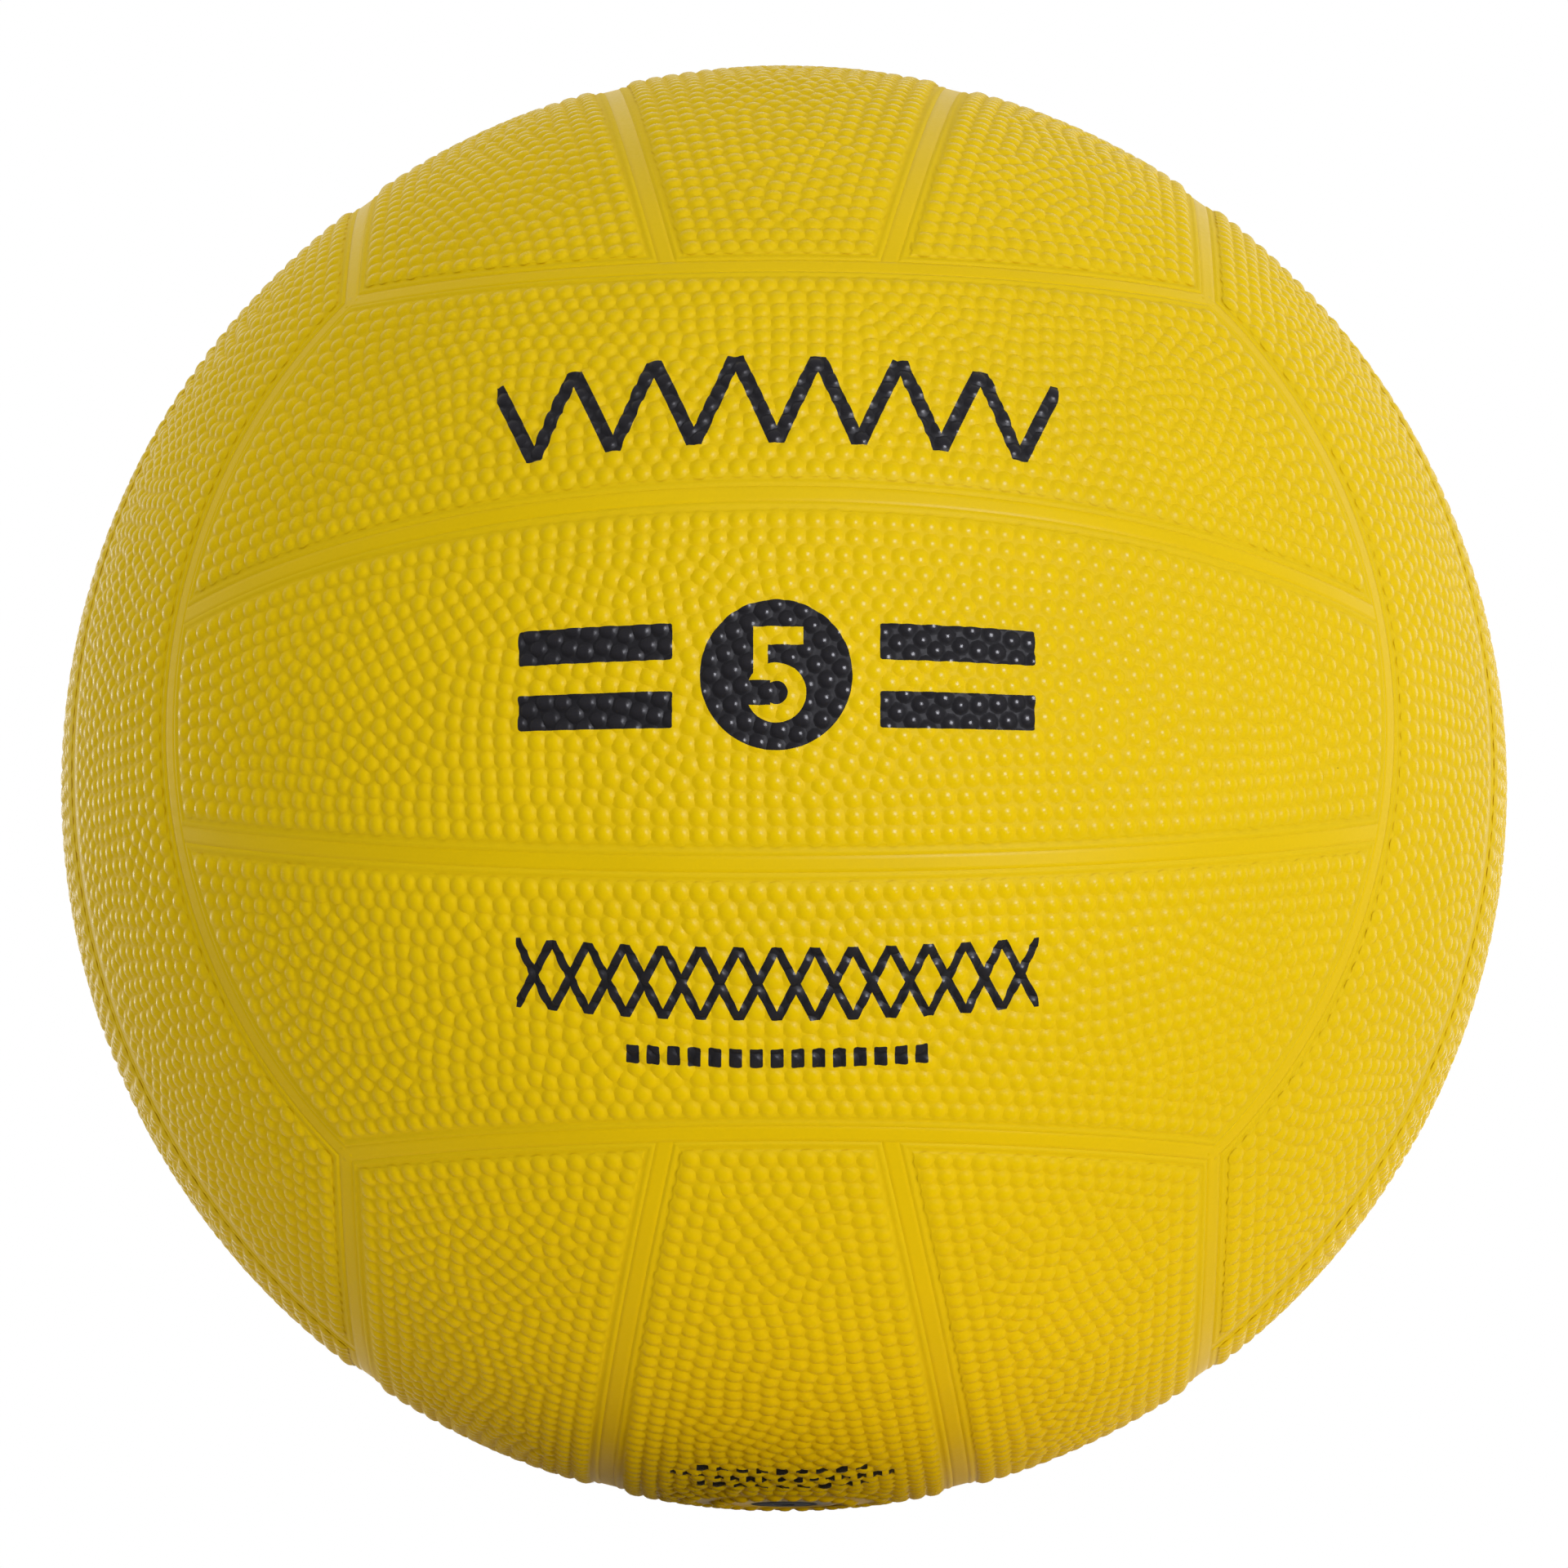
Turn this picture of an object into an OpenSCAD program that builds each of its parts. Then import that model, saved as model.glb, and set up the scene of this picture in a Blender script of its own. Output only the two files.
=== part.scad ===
// Netball: eighteen pebbled rubber panels and their seam strips on a wound carcass.
// The centre of the ball is the origin. Panels run across the front in three rows,
// the front faces -Y, and the valve is at the bottom, on -Z.

/* [Ball] */
// Outside diameter, measured over the pebbles
ball_d = 222.8; // [180:0.2:240]
// Width of each middle panel at its waist, measured along the ball between its two seams
middle_w = 54.9; // [40:0.1:62]

/* [Cover panels] */
// Thickness of a panel under its pebbles
panel_t = 1.2; // [0.9:0.1:2.5]
// Height of the pebbles
pebble_h = 0.5; // [0.2:0.05:0.8]
// Width of the raised ridge along a panel's edge
ridge_w = 1.1; // [0.4:0.1:1.5]
// Width of the plain border between the ridge and the pebbles
border_w = 0.9; // [0.5:0.1:3]
// How far the plain border lies below the pebbles' feet
border_drop = 0.22; // [0.1:0.01:0.4]
// How far the ridge stands above the plain border
ridge_rise = 0.14; // [0.05:0.01:0.3]

/* [Seam strips] */
// Width of a strip
strip_w = 2.4; // [2:0.1:6]
// Thickness of a strip
strip_t = 0.93; // [0.4:0.01:1.1]

/* [Layers under the cover] */
// Thickness of the rubber skin over the winding
carcass_t = 0.3; // [0.2:0.05:1]
// Thickness of the wound thread
winding_t = 0.4; // [0.2:0.05:1.5]
// Thickness of the bladder
bladder_t = 0.7; // [0.4:0.05:1.5]

/* [Valve] */
// Diameter of the plain disc that the valve sits in
valve_disc_d = 14.6; // [12:0.1:24]
// Diameter of the housing's collar, which shows in the cover
collar_d = 10; // [9:0.1:11]
// Diameter of the housing
housing_d = 12; // [11.5:0.1:18]
// Diameter of the housing's flange inside the bladder
flange_d = 32; // [20:1:44]
// Thickness of the flange
flange_t = 1; // [0.6:0.1:2]
// Diameter of the core
core_d = 6; // [4:0.1:7]
// Length of the core
core_l = 16; // [10:0.5:24]
// Diameter of the core's head
head_d = 7.6; // [7.2:0.1:8.6]
// Thickness of the core's head
head_t = 1.2; // [0.8:0.1:2]
// Diameter of the hole for the needle
needle_d = 2; // [1.6:0.1:2.4]
// Diameter of the funnel that guides the needle
funnel_d = 3.4; // [2.8:0.1:4]
// Depth of the funnel
funnel_l = 0.8; // [0.4:0.1:1.2]
// How far the housing reaches past the core's inner end
housing_tail = 1.2; // [0.5:0.1:3]

/* [Patches in the bladder] */
// Diameter of the valve patch
valve_patch_d = 46; // [36:1:60]
// Thickness of the valve patch
valve_patch_t = 0.6; // [0.3:0.1:1.5]
// Diameter of the balance patch
balance_patch_d = 46; // [30:1:60]
// Thickness of the balance patch
balance_patch_t = 2; // [0.5:0.1:4]

/* [Fits] */
// Gap round the core and its head, on the radius
core_fit = 0.05; // [0.02:0.01:0.1]
// Gap between one layer and the next
layer_gap = 0.02; // [0.01:0.01:0.05]
// Gap between the sides of a panel or strip and its neighbour
join_gap = 0.03; // [0.01:0.01:0.1]

/* [Hidden] */
// Radii of the cover's levels, from the pebbles' tops to the cover's inner face
top_r = ball_d / 2;
face_r = top_r - pebble_h;
border_r = face_r - border_drop;
ridge_r = border_r + ridge_rise;
cover_in_r = face_r - panel_t;
strip_r = cover_in_r + strip_t;

// Radii of the layers under the cover
carcass_r = cover_in_r - layer_gap;
carcass_in_r = carcass_r - carcass_t;
winding_r = carcass_in_r - layer_gap;
winding_in_r = winding_r - winding_t;
bladder_r = winding_in_r - layer_gap;
bladder_in_r = bladder_r - bladder_t;
patch_r = bladder_in_r - layer_gap;
valve_patch_in_r = patch_r - valve_patch_t;
flange_r = valve_patch_in_r - layer_gap;

// Depths of the valve, measured down from the centre of the ball
core_end_z = border_r - core_l;
housing_end_z = core_end_z - housing_tail;
seat_z = border_r - head_t;

// Latitude of the seam between two faces, whose corners are those of a cube
edge_lat = asin(1 / sqrt(3));
// Tilt of the seam plane beside a middle panel
seam_tilt = to_deg(middle_w / 2);
// Tilt and turn of the mitre plane between two edge strips, which is square to [1, 2, 1]
mitre_tilt = acos(1 / sqrt(6));
mitre_turn = atan(2);

// Distances of the pieces' sides from the centre line of a seam, along the ball
strip_side = (strip_w - join_gap) / 2;
panel_side = (strip_w + join_gap) / 2;
ridge_side = panel_side + ridge_w;
field_side = ridge_side + border_w;

// Half the size of the blocks that cut the pieces out, and how far a cut runs past
reach = ball_d;
overrun = pebble_h;
$fn = 96;

yellow = [0.87, 0.72, 0.02];
yellow_strip = [0.83, 0.68, 0.02];
black = [0.08, 0.08, 0.09];
cream = [0.85, 0.82, 0.7];
grey = [0.35, 0.35, 0.36];

// Each face: its name, how many thirds of a turn bring the front there, whether it is
// the far one of its pair, the names of its two outer rows, and the faces beyond them
FACES = [
    ["front", 0, false, ["upper", "lower"], ["top", "bottom"]],
    ["back", 0, true, ["upper", "lower"], ["top", "bottom"]],
    ["bottom", 1, false, ["right", "left"], ["right", "left"]],
    ["top", 1, true, ["right", "left"], ["right", "left"]],
    ["left", 2, false, ["back", "front"], ["back", "front"]],
    ["right", 2, true, ["back", "front"], ["back", "front"]],
];
// Each repeated piece: its node, its face, and its row, 0 or 1 for an outer one
OUTER_PANELS = [for (f = FACES) for (row = [0, 1]) [str("panel_", f[0], "_", f[3][row]), f, row]];
MIDDLE_PANELS = [for (f = FACES) [str("panel_", f[0], "_middle"), f]];
EDGE_STRIPS = [for (f = FACES) for (row = [0, 1]) [str("edge_strip_", f[0], "_", f[4][row]), f, row]];
SEAM_STRIPS = [for (f = FACES) for (row = [0, 1]) [str("seam_strip_", f[0], "_", f[3][row]), f, row]];
INNER = ["carcass", "winding", "bladder", "valve_patch", "valve_housing", "valve_core", "balance_patch"];

// Angle that a length along the ball spans, seen from the centre
function to_deg(along) = along / top_r * 180 / PI;
// Height of the cut that lies so far along the ball from a seam, towards the panel:
// under the long edge, over the seam beside the middle panel, and in from the short end
function edge_z(inset) = top_r * sin(edge_lat - to_deg(inset));
function seam_z(inset) = top_r * sin(to_deg(inset));
function end_z(inset) = top_r * sin(edge_lat + to_deg(inset));

// A ball whose poles lie on Y, clear of every cut
module ball(r) {
    rotate([90, 0, 0]) sphere(r = r);
}

module shell(outer_r, inner_r) {
    difference() {
        ball(outer_r);
        ball(inner_r);
    }
}

// All space between two heights
module slab(low, high) {
    translate([-reach, -reach, low]) cube([2 * reach, 2 * reach, high - low]);
}

module above(z) {
    slab(z, 2 * reach);
}

module below(z) {
    slab(-2 * reach, z);
}

// The space of the front face, inside its two short ends
module inside_ends(inset) {
    rotate([90, 0, 0]) above(end_z(inset));
}

// The space of the front's upper panel, drawn in from the seams round it
module outer_space(inset) {
    intersection() {
        below(edge_z(inset));
        rotate([-seam_tilt, 0, 0]) above(seam_z(inset));
        inside_ends(inset);
    }
}

// The space of the front's middle panel, drawn in from the seams round it
module middle_space(inset) {
    intersection() {
        rotate([-seam_tilt, 0, 0]) below(-seam_z(inset));
        rotate([seam_tilt, 0, 0]) above(seam_z(inset));
        inside_ends(inset);
    }
}

module space(middle, inset) {
    if (middle) middle_space(inset);
    else outer_space(inset);
}

// A panel of the front face: its ridge, its plain border and the pebbles' envelope
module panel_blank(middle) {
    difference() {
        union() {
            intersection() {
                space(middle, panel_side);
                ball(ridge_r);
            }
            intersection() {
                space(middle, field_side);
                ball(top_r);
            }
        }
        difference() {
            space(middle, ridge_side);
            space(middle, field_side);
            ball(border_r);
        }
        ball(cover_in_r);
    }
}

// Turns a piece of the front face to another face, and to its second row
module on_face(f, row = 0) {
    rotate(f[1] * 120, [1, 1, 1]) rotate([0, 0, f[2] ? 180 : 0]) rotate([0, row * 180, 0]) children();
}

module outer_panel(p) {
    color(yellow) on_face(p[1], p[2]) panel_blank(false);
}

module middle_panel(p) {
    color(yellow) difference() {
        on_face(p[1]) panel_blank(true);
        if (p[1][0] == "bottom") valve_opening();
    }
}

// A cylinder on the valve's axis, between two depths
module valve_rod(d, from_z, to_z) {
    translate([0, 0, -to_z]) cylinder(d = d, h = to_z - from_z);
}

// What is cut down to a level round the valve
module valve_cut(d, inner_d, level_r) {
    difference() {
        valve_rod(d, cover_in_r, top_r + overrun);
        valve_rod(inner_d, 0, 2 * top_r);
        ball(level_r);
    }
}

// The plain disc round the valve, its ridge, the plain border outside that, and the hole
module valve_opening() {
    ridge_out_d = valve_disc_d + 2 * ridge_w;
    valve_cut(ridge_out_d + 2 * border_w, ridge_out_d, border_r);
    valve_cut(ridge_out_d, valve_disc_d, ridge_r);
    valve_cut(valve_disc_d, collar_d, border_r);
    valve_rod(collar_d + 2 * layer_gap, bladder_in_r, top_r + overrun);
}

// A strip in the seam between the front face and the top one, mitred at both ends
module edge_strip(p) {
    color(yellow_strip) on_face(p[1], p[2]) intersection() {
        shell(strip_r, cover_in_r);
        slab(edge_z(strip_side), edge_z(-strip_side));
        strip_mitre();
        mirror([1, 0, 0]) strip_mitre();
    }
}

module strip_mitre() {
    rotate([0, mitre_tilt, mitre_turn]) below(-join_gap / 2);
}

// A strip in the seam over the front's middle panel, butted against the edge strips
module seam_strip(p) {
    color(yellow_strip) on_face(p[1], p[2]) intersection() {
        shell(strip_r, cover_in_r);
        rotate([-seam_tilt, 0, 0]) slab(-seam_z(strip_side), seam_z(strip_side));
        inside_ends(panel_side);
    }
}

module carcass() {
    color(black) difference() {
        shell(carcass_r, carcass_in_r);
        housing_hole();
    }
}

module winding() {
    color(cream) difference() {
        shell(winding_r, winding_in_r);
        housing_hole();
    }
}

module bladder() {
    color(grey) difference() {
        shell(bladder_r, bladder_in_r);
        housing_hole();
    }
}

// The hole that the housing comes through
module housing_hole() {
    valve_rod(housing_d + 2 * layer_gap, housing_end_z, top_r);
}

module valve_patch() {
    color(black) difference() {
        intersection() {
            shell(patch_r, valve_patch_in_r);
            valve_rod(valve_patch_d, 0, top_r);
        }
        housing_hole();
    }
}

module balance_patch() {
    color(black) intersection() {
        shell(patch_r, patch_r - balance_patch_t);
        cylinder(d = balance_patch_d, h = top_r);
    }
}

// The boot: a flange in the bladder, a barrel through the layers and a collar in the cover
module valve_housing() {
    color(black) difference() {
        union() {
            intersection() {
                valve_rod(housing_d, housing_end_z, top_r);
                ball(carcass_r);
            }
            intersection() {
                valve_rod(collar_d, housing_end_z, top_r);
                ball(border_r);
            }
            intersection() {
                shell(flange_r, flange_r - flange_t);
                valve_rod(flange_d, 0, top_r);
            }
        }
        valve_rod(core_d + 2 * core_fit, housing_end_z - overrun, top_r);
        valve_rod(head_d + 2 * core_fit, seat_z, top_r);
    }
}

module valve_core() {
    color(grey) difference() {
        intersection() {
            union() {
                valve_rod(core_d, core_end_z, seat_z + overrun);
                valve_rod(head_d, seat_z, top_r);
            }
            ball(border_r);
        }
        valve_rod(needle_d, core_end_z - overrun, top_r);
        translate([0, 0, -border_r]) cylinder(d1 = funnel_d, d2 = needle_d, h = funnel_l);
    }
}

for (p = OUTER_PANELS) outer_panel(p);
for (p = MIDDLE_PANELS) middle_panel(p);
for (p = EDGE_STRIPS) edge_strip(p);
for (p = SEAM_STRIPS) seam_strip(p);
carcass();
winding();
bladder();
valve_patch();
balance_patch();
valve_housing();
valve_core();
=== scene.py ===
"""Netball: pebbled rubber panels and seam strips over a wound carcass, with a needle valve.

Sizes are in metres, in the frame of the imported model: the centre of the ball is the
origin, the front faces -Y, and the valve is at the bottom, on -Z.
"""

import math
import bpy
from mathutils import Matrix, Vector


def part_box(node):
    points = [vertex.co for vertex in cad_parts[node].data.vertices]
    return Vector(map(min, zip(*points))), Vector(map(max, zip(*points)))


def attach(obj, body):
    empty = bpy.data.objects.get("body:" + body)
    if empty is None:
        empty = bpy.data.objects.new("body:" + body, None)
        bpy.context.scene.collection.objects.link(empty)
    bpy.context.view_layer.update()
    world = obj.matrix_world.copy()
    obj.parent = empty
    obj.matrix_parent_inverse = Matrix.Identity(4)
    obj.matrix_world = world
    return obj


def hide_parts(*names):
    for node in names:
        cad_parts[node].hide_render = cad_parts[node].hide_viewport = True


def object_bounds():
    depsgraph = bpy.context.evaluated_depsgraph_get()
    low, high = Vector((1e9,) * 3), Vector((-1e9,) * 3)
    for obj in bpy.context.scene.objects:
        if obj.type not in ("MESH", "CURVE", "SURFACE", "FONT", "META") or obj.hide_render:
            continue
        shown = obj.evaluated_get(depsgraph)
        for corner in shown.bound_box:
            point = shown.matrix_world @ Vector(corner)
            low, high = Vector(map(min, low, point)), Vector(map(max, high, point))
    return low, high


bl_info = {
    "name": "Netball Builder",
    "version": (1, 0, 0),
    "blender": (4, 5, 0),
    "location": "View3D > Sidebar > Netball",
    "description": "Builds a rubber netball: its panels, seam strips, valve and inner layers",
    "category": "Add Mesh",
}

import bmesh
import bpy
import numpy as np
from mathutils import Matrix, Vector

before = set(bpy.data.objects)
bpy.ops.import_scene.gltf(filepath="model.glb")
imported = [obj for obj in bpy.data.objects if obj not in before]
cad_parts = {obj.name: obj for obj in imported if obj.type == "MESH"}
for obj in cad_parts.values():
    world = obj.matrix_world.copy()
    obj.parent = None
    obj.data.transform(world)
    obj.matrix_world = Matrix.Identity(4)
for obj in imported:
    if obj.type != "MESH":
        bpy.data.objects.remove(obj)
CAD_BOX = [list(corner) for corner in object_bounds()]
MM = 0.001
# An edge stays sharp where its faces meet at more than this
SHARP_ANGLE = math.radians(65)

# Each face: how many thirds of a turn bring the front there, whether it is the far one of
# its pair, the names of its two outer rows, and the faces beyond them
FACES = {
    "front": (0, False, ("upper", "lower"), ("top", "bottom")),
    "back": (0, True, ("upper", "lower"), ("top", "bottom")),
    "bottom": (1, False, ("right", "left"), ("right", "left")),
    "top": (1, True, ("right", "left"), ("right", "left")),
    "left": (2, False, ("back", "front"), ("back", "front")),
    "right": (2, True, ("back", "front"), ("back", "front")),
}
# Where FACES holds the names of the rows, and of the faces beyond them
ROWS, BEYOND = 2, 3
VALVE_FACE = "bottom"
# Latitude of the seam between two faces, whose corners are those of a cube
EDGE_LAT = math.asin(1 / math.sqrt(3))
X_AXIS = np.array([1.0, 0.0, 0.0])
UP = np.array([0.0, 0.0, 1.0])
FRONT = np.array([0.0, -1.0, 0.0])


def linear(red, green, blue):
    """The scene-linear colour of an 8-bit sRGB one."""
    shares = [value / 255 for value in (red, green, blue)]
    return tuple(s / 12.92 if s <= 0.04045 else ((s + 0.055) / 1.055) ** 2.4 for s in shares)


def length(name, description, default):
    return bpy.props.FloatProperty(
        name=name, description=description, default=default, unit="LENGTH",
        subtype="DISTANCE", precision=5)


def colour(name, description, default):
    return bpy.props.FloatVectorProperty(
        name=name, description=description, default=default, subtype="COLOR", size=3,
        min=0, max=1)


def angle(name, description, degrees):
    return bpy.props.FloatProperty(
        name=name, description=description, default=math.radians(degrees),
        subtype="ANGLE", unit="ROTATION")


def power(name, description, watts):
    return bpy.props.FloatProperty(
        name=name, description=description, default=watts, unit="POWER")


def group(name, description, kind):
    return bpy.props.PointerProperty(name=name, description=description, type=kind)


class CoverSettings(bpy.types.PropertyGroup):
    """Sizes and colours of the panels"""
    ball_radius: length("Ball radius", "From the centre to the tops of the pebbles",
                        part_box("panel_top_middle")[1].z)
    middle_width: length("Middle width", "Width of a middle panel at its waist", 54.9 * MM)
    pebble_height: length("Pebble height", "Height of a pebble over the panel", 0.5 * MM)
    panel_thickness: length("Panel thickness", "Thickness under the pebbles", 1.2 * MM)
    ridge_width: length("Ridge width", "Width of the ridge along a panel's edge", 1.1 * MM)
    ridge_rise: length("Ridge rise", "Height of the ridge over the border", 0.11 * MM)
    border_width: length("Border width", "Width of the plain border", 0.9 * MM)
    border_drop: length("Border drop", "Depth of the border under the pebbles' feet", 0.22 * MM)
    pebble_width: length("Pebble width", "Width of a pebble at its foot", 3.2 * MM)
    pebble_pitch: length("Pebble pitch", "Distance between pebbles along a border", 2.8 * MM)
    pebble_area: bpy.props.FloatProperty(
        name="Pebble area", description="Area of cover for each pebble", default=7.0e-6,
        unit="AREA", precision=8)
    size_spread: bpy.props.FloatProperty(
        name="Size spread", description="How much the pebbles differ in size", default=0.07,
        min=0, max=0.3, subtype="FACTOR")
    seed: bpy.props.IntProperty(
        name="Seed", description="Start of the random layout of the pebbles", default=5)
    rubber: colour("Rubber", "Colour of the cover", linear(234, 198, 0))
    ink: colour("Ink", "Colour of the print", linear(28, 27, 30))


class StripSettings(bpy.types.PropertyGroup):
    """Sizes and colours of the seam strips"""
    width: length("Width", "Width of a seam strip with its gaps", 2.4 * MM)
    thickness: length("Thickness", "Thickness of a seam strip", 0.93 * MM)
    gap: length("Gap", "Gap between a strip and its neighbours", 0.03 * MM)
    rounding: length("Rounding", "Radius of a strip's long edges", 0.02 * MM)
    rubber: colour("Rubber", "Colour of the strips", linear(233, 196, 0))


class ValveSettings(bpy.types.PropertyGroup):
    """Sizes and colours round the valve"""
    disc_diameter: length("Disc diameter", "Plain disc round the valve", 14.6 * MM)
    collar_diameter: length("Collar diameter", "Collar of the valve housing", 10.04 * MM)
    housing: colour("Housing", "Colour of the valve housing", linear(26, 26, 28))
    core: colour("Core", "Colour of the valve core", linear(74, 74, 78))


class LayerSettings(bpy.types.PropertyGroup):
    """Sizes and colours of the layers under the cover"""
    thread_pitch: length("Thread pitch", "Distance between turns of the winding", 0.9 * MM)
    carcass: colour("Carcass", "Colour of the carcass", linear(38, 38, 40))
    thread: colour("Thread", "Colour of the winding", linear(222, 214, 190))
    bladder: colour("Bladder", "Colour of the bladder", linear(44, 44, 47))
    patch: colour("Patch", "Colour of the patches", linear(62, 58, 54))
    talc: colour("Talc", "Colour of the dust on the rubber inside", linear(168, 164, 156))


class StageSettings(bpy.types.PropertyGroup):
    """Camera, lamps and floor"""
    azimuth: angle("Azimuth", "Camera's turn from the front towards the right", 0.585)
    elevation: angle("Elevation", "Camera's height above the middle of the ball", -8.475)
    distance: length("Distance", "From the camera to the centre of the ball", 1.522)
    lens: bpy.props.FloatProperty(
        name="Lens", description="Focal length, for a sensor 36 mm wide", default=226.3,
        unit="CAMERA")
    rise: bpy.props.FloatProperty(
        name="Rise", description="Vertical shift of the picture, as a share of its width",
        default=0.0028)
    key: power("Key", "Power of the lamp on the right", 9.3)
    glint: power("Glint", "Power of the lamp that shows in the gloss alone", 75.0)
    crown: power("Crown", "Power of the lamp overhead", 6.5)
    rim: power("Rim", "Power of the lamp behind on the right", 3.4)
    kicker: power("Kicker", "Power of the lamp behind on the left", 2.4)
    back: power("Back", "Power of the lamp straight behind", 7.0)
    ambient: bpy.props.FloatProperty(
        name="Ambient", description="Strength of the light from all sides", default=0.455,
        min=0)
    floor: colour("Floor", "Colour of the floor", (0.9, 0.9, 0.9))


def settings():
    """The scene's sizes and colours."""
    return bpy.context.scene.netball


class NetballSettings(bpy.types.PropertyGroup):
    """All sizes and colours of the ball"""
    cover: group("Cover", "The panels", CoverSettings)
    strips: group("Strips", "The seam strips", StripSettings)
    valve: group("Valve", "The valve", ValveSettings)
    layers: group("Layers", "The layers under the cover", LayerSettings)
    stage: group("Stage", "Camera, lamps and floor", StageSettings)


def put(name, data):
    """A new object in the scene."""
    item = bpy.data.objects.new(name, data)
    bpy.context.scene.collection.objects.link(item)
    return item


# Places on the ball


def foot_radius():
    """Radius of the panels' faces, at the feet of the pebbles."""
    cover = settings().cover
    return cover.ball_radius - cover.pebble_height


def border_radius():
    return foot_radius() - settings().cover.border_drop


def inner_radius():
    """Radius of the cover's inner face."""
    return foot_radius() - settings().cover.panel_thickness


def panel_side():
    """Distance along the ball from the middle of a seam to the side of a panel."""
    strips = settings().strips
    return (strips.width + strips.gap) / 2


def ridge_side():
    return panel_side() + settings().cover.ridge_width


def to_angle(along):
    """Angle that a length along the ball spans, seen from the centre."""
    return along / settings().cover.ball_radius


def seam_tilt():
    return to_angle(settings().cover.middle_width / 2)


# A plane is its normal and its height over the centre, for a ball of radius 1


def seam_plane(inset, side=1):
    """The seam over (1) or under (-1) the front's middle panel, moved up by an inset."""
    normal = np.array([0, side * math.sin(seam_tilt()), math.cos(seam_tilt())])
    return normal, math.sin(to_angle(inset))


def edge_plane(inset):
    """The long edge between the front and the top, moved down by an inset."""
    return UP, math.sin(EDGE_LAT - to_angle(inset))


def end_plane(inset):
    """The short end of the front's panels, moved in by an inset."""
    return FRONT, math.sin(EDGE_LAT + to_angle(inset))


def mitre_plane(gap):
    """The mitre between two edge strips at the front's upper right corner."""
    return -np.array([1, 2, 1]) / math.sqrt(6), to_angle(gap)


def between(first, last, share):
    """A plane of the fan that two planes span."""
    normal = (1 - share) * first[0] + share * last[0]
    size = np.linalg.norm(normal)
    return normal / size, ((1 - share) * first[1] + share * last[1]) / size


def end_angle(plane, end):
    """Angle from the front towards +X at which a plane's circle meets an end plane."""
    normal, height = plane
    end_normal, end_height = end
    radius = math.sqrt(1 - height * height)
    across = radius * end_normal[0]
    ahead = radius * (end_normal @ np.cross(X_AXIS, normal))
    rest = end_height - height * (end_normal @ normal)
    return math.atan2(across, ahead) + math.acos(rest / math.hypot(across, ahead))


def ring_points(out, turns):
    """Unit vectors at a distance along the ball from the middle of the front."""
    lean = to_angle(out)
    sideways = math.sin(lean) * np.c_[np.cos(turns), 0 * turns, np.sin(turns)]
    return sideways + math.cos(lean) * FRONT


def circle_points(plane, angles):
    """Unit vectors on a plane's circle, at angles from the front towards +X."""
    normal, height = plane
    radius = math.sqrt(1 - height * height)
    ahead = np.cross(X_AXIS, normal)
    turns = np.outer(np.sin(angles), X_AXIS) + np.outer(np.cos(angles), ahead)
    return height * normal + radius * turns


def face_matrix(face, row=0):
    """Turns a piece of the front face to another face, and to its second row."""
    thirds, far = FACES[face][:2]
    turn = Matrix.Rotation(math.radians(120 * thirds), 4, Vector((1, 1, 1)))
    half = Matrix.Rotation(math.pi if far else 0, 4, "Z")
    return turn @ half @ Matrix.Rotation(math.pi * row, 4, "Y")


# Shells: a lattice of unit vectors, with a radius for each vertex


def lattice(planes, ends, cells):
    """Unit vectors, a row for each plane: end lines, cells between them, end lines."""
    rows = []
    for plane in planes:
        stops = [end_angle(plane, end) for end in ends]
        inside = np.linspace(-stops[-1], stops[-1], cells + 1)[1:-1]
        rows.append(circle_points(plane, np.r_[np.negative(stops), inside, stops[::-1]]))
    return np.array(rows)


def ranks(count, cells):
    """How far each line of a lattice lies from its side, up to the last line of a profile."""
    side = list(range(count))
    return np.array(side + [count - 1] * (cells - 1) + side[::-1])


def quads(numbers):
    """The quads between the vertices of a lattice, given their numbers."""
    return np.stack([numbers[:-1, :-1], numbers[:-1, 1:], numbers[1:, 1:], numbers[1:, :-1]],
                    axis=-1).reshape(-1, 4)


def shell(points, radii):
    """Points of a shell's two faces, its quads and the numbers of its outer points."""
    outer = (points * radii[..., None]).reshape(-1, 3)
    inner = (points * inner_radius()).reshape(-1, 3)
    numbers = np.arange(len(outer)).reshape(points.shape[:2])
    faces = np.vstack([quads(numbers), quads(numbers + len(outer))])
    return outer, inner, numbers, faces


def mesh_from(name, vertices, faces):
    """A mesh with its doubles merged and its faces outwards."""
    doubles = 1e-7
    mesh = bpy.data.meshes.new(name)
    mesh.from_pydata(np.asarray(vertices).tolist(), [], [list(map(int, f)) for f in faces])
    work = bmesh.new()
    work.from_mesh(mesh)
    bmesh.ops.remove_doubles(work, verts=work.verts, dist=doubles)
    bmesh.ops.dissolve_degenerate(work, edges=work.edges, dist=doubles)
    bmesh.ops.recalc_face_normals(work, faces=work.faces)
    work.to_mesh(mesh)
    work.free()
    mesh.shade_smooth()
    mesh.set_sharp_from_angle(angle=SHARP_ANGLE)
    return mesh


# Where the ridge's flat top begins and ends, as shares of the ridge's width
RIDGE_TOP = (0.42, 0.55)
QUARTERS = (0.25, 0.5, 0.75, 1.0)
# Where the step from the border to the field begins and ends, as shares of the border
FIELD_STEP = (0.25, 0.75)


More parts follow.
